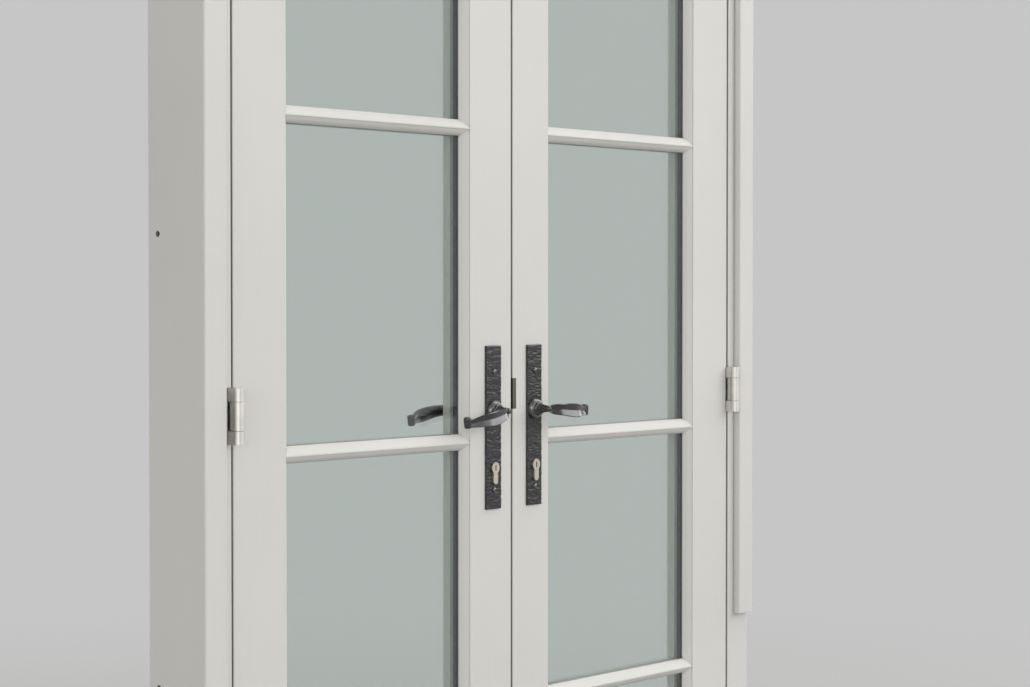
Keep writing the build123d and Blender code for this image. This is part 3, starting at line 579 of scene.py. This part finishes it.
def plate_blank(name, spindle, seed):
    """A plate with its worked face, before its holes are cut."""
    found = marks(seed)
    columns = int(plate_width / plate_step)
    rows = int((plate_high - plate_low) / plate_step)
    work = bmesh.new()
    grid = []
    for row in range(rows + 1):
        z = plate_low + (plate_high - plate_low) * row / rows
        line = []
        for column in range(columns + 1):
            x = -plate_width / 2 + plate_width * column / columns
            height = face_height(found, seed, x, z)
            pull, lift = ragged_border(seed, x, z)
            line.append(work.verts.new((spindle + x + pull, -height, z + lift)))
        grid.append(line)
    for low, high in zip(grid[:-1], grid[1:]):
        for i in range(columns):
            work.faces.new((low[i], low[i + 1], high[i + 1], high[i]))
    rim = (grid[0] + [grid[r][-1] for r in range(1, rows + 1)]
           + list(reversed(grid[-1][:-1])) + [grid[r][0] for r in range(rows - 1, 0, -1)])
    back = [work.verts.new((v.co.x, 0.0, v.co.z)) for v in rim]
    count = len(rim)
    for i in range(count):
        j = (i + 1) % count
        work.faces.new((rim[j], rim[i], back[i], back[j]))
    work.faces.new(back)
    bmesh.ops.recalc_face_normals(work, faces=work.faces)
    return made(name, work)


def domed_collar(name, x):
    """The round boss behind a lever, turned as a profile and finished with a slight groove."""
    outer = collar_radius
    profile = [(neck_hole_radius, 0.0035), (outer, 0.0035), (outer, 0.0048), (outer - 0.0002, 0.0060),
               (outer - 0.0007, 0.0073), (outer - 0.0015, 0.0086), (outer - 0.0025, 0.0097),
               (outer - 0.0036, 0.0106), (0.0111, 0.0109), (0.0105, 0.0107), (0.0100, 0.0110),
               (0.0084, 0.0109), (neck_hole_radius, 0.0106)]
    return turned(name, profile, x, spindle_height)


def worked_plate(name, x, inside, seed, node, body):
    """One backplate with hammer marks, ragged bevelled edges, its holes and a domed collar."""
    plate = plate_blank(name, x, seed)
    outlines = [circle_outline(x, spindle_height, neck_hole_radius), cylinder_outline(x)]
    outlines += [circle_outline(x, z, screw_hole_radius) for z in screw_heights]
    holes = [cutter(outline) for outline in outlines]
    for hole in holes:
        cut = plate.modifiers.new("cut", "BOOLEAN")
        cut.operation = "DIFFERENCE"
        cut.solver = "EXACT"
        cut.object = hole
    settled(plate)
    for hole in holes:
        bpy.data.objects.remove(hole, do_unlink=True)
    collar = domed_collar(name + "_collar", x)
    for piece, finish in ((plate, plate_iron), (collar, collar_iron)):
        if inside:
            turn_inside(piece, x)
        give(piece, finish)
        smooth_by_angle(piece, plate_sharp_angle)
    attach(plate, body)
    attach(collar, body)
    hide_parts(node)


def screw_head(name, x, z, inside, turn):
    """A domed screw head with a cross recess, turned by an angle in radians."""
    work = bmesh.new()
    levels = []
    for i in range(screw_rings + 1):
        part = i / screw_rings
        radius = screw_head_radius * math.sin(part * math.pi / 2) if i else 0.0
        height = screw_head_height * math.cos(part * math.pi / 2) ** dome_power
        line = []
        for k in range(screw_steps):
            angle = 2 * math.pi * k / screw_steps
            px, pz = radius * math.cos(angle), radius * math.sin(angle)
            arm = min(abs(px * math.cos(turn) + pz * math.sin(turn)),
                      abs(pz * math.cos(turn) - px * math.sin(turn)))
            in_recess = arm < recess_half_width and math.hypot(px, pz) < recess_reach
            line.append((px, height - (recess_depth if in_recess else 0.0), pz))
        levels.append(line)
    top = work.verts.new((x, -(plate_thickness + levels[0][0][1]), z))
    loops = []
    for line in levels[1:]:
        loops.append([work.verts.new((x + px, -(plate_thickness + h), z + pz)) for px, h, pz in line])
    loops.append([work.verts.new((v.co.x, -screw_head_foot, v.co.z)) for v in loops[-1]])
    for k in range(screw_steps):
        m = (k + 1) % screw_steps
        work.faces.new((top, loops[0][k], loops[0][m]))
        for near, far in zip(loops[:-1], loops[1:]):
            work.faces.new((near[k], far[k], far[m], near[m]))
    work.faces.new(loops[-1])
    bmesh.ops.recalc_face_normals(work, faces=work.faces)
    piece = made(name, work)
    if inside:
        turn_inside(piece, x)
    give(piece, collar_iron)
    smooth_by_angle(piece, screw_sharp_angle)
    return piece


for number, (side, spindle) in enumerate(spindles.items()):
    for inside in (False, True):
        face = "inner" if inside else "outer"
        seed = first_seed + 2 * number + inside
        worked_plate(f"{side}_{face}_worked_plate", spindle, inside, seed,
                     f"{side}_{face}_plate", f"{side}_leaf")
        for i, z in enumerate(screw_heights):
            turn = 0.35 + 0.5 * i + 0.3 * number
            head = screw_head(f"{side}_{face}_screw_head_{i + 1}", spindle, z, inside, turn)
            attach(head, f"{side}_leaf")


# Floor, light and camera

floor_radius = 30.0
floor_height = -0.0005
floor_colour = (0.38, 0.38, 0.375, 1.0)
floor_clear_radius = 2.6
floor_blend_radius = 6.0
world_light = (1.0, 0.995, 0.985, 1.0)
world_low_strength = 0.2
world_high_strength = 0.7
world_low_place = -0.1

# Name, place, target, width and height, and watts
lamps = (
    ("sky_left", (-5.8, -3.5, 1.9), (0.0, 0.0, 1.1), (5.6, 3.0), 150.0),
    ("sky_front", (1.4, -5.8, 2.6), (0.0, 0.0, 1.1), (4.8, 2.6), 68.0),
    ("sky_right", (5.5, -4.5, 4.5), (0.0, 0.0, 1.1), (6.6, 3.8), 236.0),
    ("side_right", (7.0, 0.5, 3.2), (0.0, 0.0, 1.1), (3.8, 2.2), 95.0),
    ("overhead", (2.7, -1.1, 6.4), (0.0, 0.0, 1.0), (2.2, 3.2), 78.0),
    ("back_fill", (2.9, 6.4, 4.5), (0.0, 0.0, 1.1), (4.6, 3.4), 165.0),
)

focal_length_mm = 85.0
sensor_width_mm = 36.0
camera_place = (-2.817, -2.3169, 1.2243)
camera_down = 1.227
camera_turn = -50.685


def shown_rays(tree):
    """1 for the rays that bring the backdrop to the camera, also by gloss or glass, and 0 for the rest."""
    path = tree.nodes.new("ShaderNodeLightPath")
    shown = path.outputs["Is Camera Ray"]
    for kind in ("Is Glossy Ray", "Is Transmission Ray"):
        larger = tree.nodes.new("ShaderNodeMath")
        larger.operation = "MAXIMUM"
        tree.links.new(shown, larger.inputs[0])
        tree.links.new(path.outputs[kind], larger.inputs[1])
        shown = larger.outputs["Value"]
    return shown


def backdrop_world():
    """Soft light from all round, stronger from above, and a pale background."""
    world = bpy.data.worlds.new("studio")
    world.use_nodes = True
    scene.world = world
    tree = world.node_tree
    tree.nodes.clear()
    place = tree.nodes.new("ShaderNodeTexCoord")
    split = tree.nodes.new("ShaderNodeSeparateXYZ")
    tree.links.new(place.outputs["Generated"], split.inputs["Vector"])
    rise = tree.nodes.new("ShaderNodeMapRange")
    rise.inputs["From Min"].default_value = world_low_place
    rise.inputs["From Max"].default_value = 1.0
    rise.inputs["To Min"].default_value = world_low_strength
    rise.inputs["To Max"].default_value = world_high_strength
    tree.links.new(split.outputs["Z"], rise.inputs["Value"])
    lit = tree.nodes.new("ShaderNodeBackground")
    lit.inputs["Color"].default_value = world_light
    tree.links.new(rise.outputs["Result"], lit.inputs["Strength"])
    seen = tree.nodes.new("ShaderNodeBackground")
    seen.inputs["Color"].default_value = (*background, 1.0)
    either = tree.nodes.new("ShaderNodeMixShader")
    tree.links.new(shown_rays(tree), either.inputs["Fac"])
    tree.links.new(lit.outputs["Background"], either.inputs[1])
    tree.links.new(seen.outputs["Background"], either.inputs[2])
    output = tree.nodes.new("ShaderNodeOutputWorld")
    tree.links.new(either.outputs["Shader"], output.inputs["Surface"])


def studio_floor():
    """A pale floor that keeps the shadow near the object and fades into the background."""
    s = Shader("floor_pale")
    radius = s.add("ShaderNodeVectorMath", operation="LENGTH")
    s.join(s.place, radius.inputs[0])
    fade = s.add("ShaderNodeMapRange", interpolation_type="SMOOTHSTEP")
    fade.inputs["From Min"].default_value = floor_clear_radius
    fade.inputs["From Max"].default_value = floor_blend_radius
    s.join(radius.outputs["Value"], fade.inputs["Value"])
    glow = s.add("ShaderNodeEmission")
    glow.inputs["Color"].default_value = (*background, 1.0)
    either = s.add("ShaderNodeMixShader")
    s.join(s.total(fade.outputs["Result"], shown_rays(s.tree), "MULTIPLY"), either.inputs["Fac"])
    s.set(Base_Color=floor_colour, Roughness=0.9)
    s.join(s.main.outputs["BSDF"], either.inputs[1])
    s.join(glow.outputs["Emission"], either.inputs[2])
    s.join(either.outputs["Shader"], s.output.inputs["Surface"])
    work = bmesh.new()
    bmesh.ops.create_circle(work, cap_ends=True, radius=floor_radius, segments=96)
    floor = made("floor", work, smooth=False)
    floor.location = (0.0, 0.0, floor_height)
    give(floor, s.material)


def soft_lamp(name, place, target, size, watts):
    """A large soft lamp that neither the camera nor the glass shows."""
    data = bpy.data.lights.new(name, "AREA")
    data.shape = "RECTANGLE"
    data.size, data.size_y = size
    data.energy = watts
    lamp = bpy.data.objects.new(name, data)
    scene.collection.objects.link(lamp)
    lamp.location = place
    lamp.rotation_euler = (Vector(target) - Vector(place)).to_track_quat("-Z", "Y").to_euler()
    lamp.visible_camera = False
    lamp.visible_transmission = False


backdrop_world()
studio_floor()
for lamp in lamps:
    soft_lamp(*lamp)

lens = bpy.data.cameras.new("camera")
lens.lens = focal_length_mm
lens.sensor_width = sensor_width_mm
lens.sensor_fit = "HORIZONTAL"
camera = bpy.data.objects.new("camera", lens)
scene.collection.objects.link(camera)
camera.location = camera_place
camera.rotation_euler = (math.radians(90.0 - camera_down), 0.0, math.radians(camera_turn))
scene.camera = camera
scene.view_settings.view_transform = "Standard"
